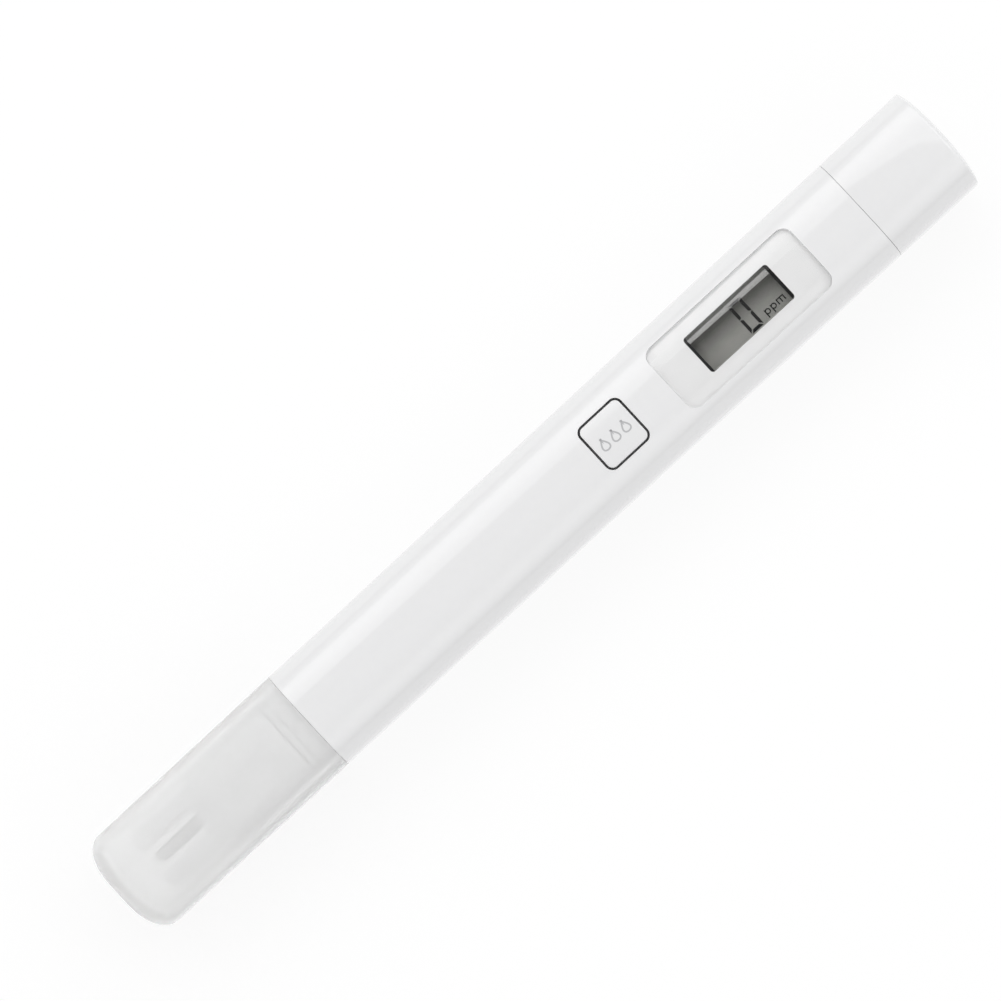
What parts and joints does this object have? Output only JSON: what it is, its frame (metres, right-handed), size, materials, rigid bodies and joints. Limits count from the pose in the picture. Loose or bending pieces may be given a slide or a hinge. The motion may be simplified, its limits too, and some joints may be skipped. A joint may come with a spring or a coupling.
{
  "type": "digital water tester",
  "caption": "Pen-shaped digital water tester with a frosted pull-off tip cap over its probe pins, a square key, a small numeric display and a pull-off battery cap.",
  "frame": {"origin": "centre of the bounding box at the back face that the pen lies on", "axes": "+X along the pen from the frosted tip to the battery end, +Z out of the display face, +Y across the pen"},
  "size_m": [0.151, 0.0164, 0.0166],
  "materials": {
    "shell_plastic": "glossy white moulded plastic, very lightly rounded edges",
    "frosted_plastic": "frosted translucent white plastic, fine matte texture",
    "key_plastic": "satin white plastic with a small printed grey mark",
    "clear_lens": "clear polished plastic",
    "mask_ink": "white ink printed on the back of the lens",
    "silicone": "soft translucent silicone",
    "black_plastic": "black moulded plastic",
    "polarizer_film": "grey polarising film",
    "lcd_glass": "thin flat glass",
    "lcd_dark": "darkened liquid crystal",
    "reflector_film": "grey-green reflective film",
    "zebra_rubber": "layered conductive and insulating silicone",
    "board_laminate": "green solder mask over glass-epoxy",
    "chip_black": "moulded epoxy with tinned legs",
    "capacitor_ceramic": "tan ceramic with tinned ends",
    "chassis_plastic": "satin white moulded plastic",
    "screw_steel": "zinc-plated steel",
    "probe_plastic": "satin white moulded plastic",
    "titanium": "fine-ground titanium",
    "red_insulation": "red wire insulation",
    "black_insulation": "black wire insulation",
    "thermistor_epoxy": "black epoxy bead",
    "tinned_wire": "tinned copper wire",
    "seal_rubber": "grey silicone seal",
    "cell_steel": "polished nickel-plated steel",
    "spring_steel": "nickel-plated spring wire and sheet",
    "contact_gold": "gold-plated phosphor bronze"
  },
  "bodies": {
    "pen": {"body_shell": "shell_plastic", "display_lens": "clear_lens", "lens_mask": "mask_ink", "lcd_frame": "black_plastic", "lcd_polarizer": "polarizer_film", "lcd_segments": "lcd_dark", "lcd_front_glass": "lcd_glass", "lcd_rear_glass": "lcd_glass", "lcd_reflector": "reflector_film", "zebra_strip_left": "zebra_rubber", "zebra_strip_right": "zebra_rubber", "circuit_board": "board_laminate", "controller_chip": "chip_black", "chip_resistors": "chip_black", "chip_capacitors": "capacitor_ceramic", "switch_body": "black_plastic", "chassis": "chassis_plastic", "board_screws": "screw_steel", "probe_holder": "probe_plastic", "probe_pin_front": "titanium", "probe_pin_rear": "titanium", "probe_lead_front": "red_insulation", "probe_lead_rear": "black_insulation", "thermistor": "thermistor_epoxy", "thermistor_leads": "tinned_wire", "tip_o_ring": "seal_rubber", "end_seal": "seal_rubber", "battery_housing": "chassis_plastic", "battery_cell_inner": "cell_steel", "battery_cell_outer": "cell_steel", "battery_spring": "spring_steel", "battery_strip": "contact_gold", "spring_tab": "spring_steel"},
    "tip_cap": {"tip_cap": "frosted_plastic"},
    "end_cap": {"end_cap": "shell_plastic", "end_contact": "spring_steel"},
    "key": {"button_cap": "key_plastic", "button_pad": "silicone"},
    "plunger": {"switch_plunger": "black_plastic"}
  },
  "joints": [
    {"name": "tip_cap_pull", "type": "slide", "parent": "pen", "child": "tip_cap", "axis": [-1, 0, 0], "range_m": [0, 0.04]},
    {"name": "end_cap_pull", "type": "slide", "parent": "pen", "child": "end_cap", "axis": [1, 0, 0], "range_m": [0, 0.024]},
    {"name": "key_press", "type": "slide", "parent": "pen", "child": "key", "axis": [0, 0, -1], "range_m": [0, 0.00035], "stiffness_N_per_m": 3000},
    {"name": "plunger_press", "type": "slide", "parent": "pen", "child": "plunger", "axis": [0, 0, -1], "range_m": [0, 0.00035]}
  ],
  "couplings": [
    {"joint": "plunger_press", "follows": "key_press", "ratio": 1}
  ]
}
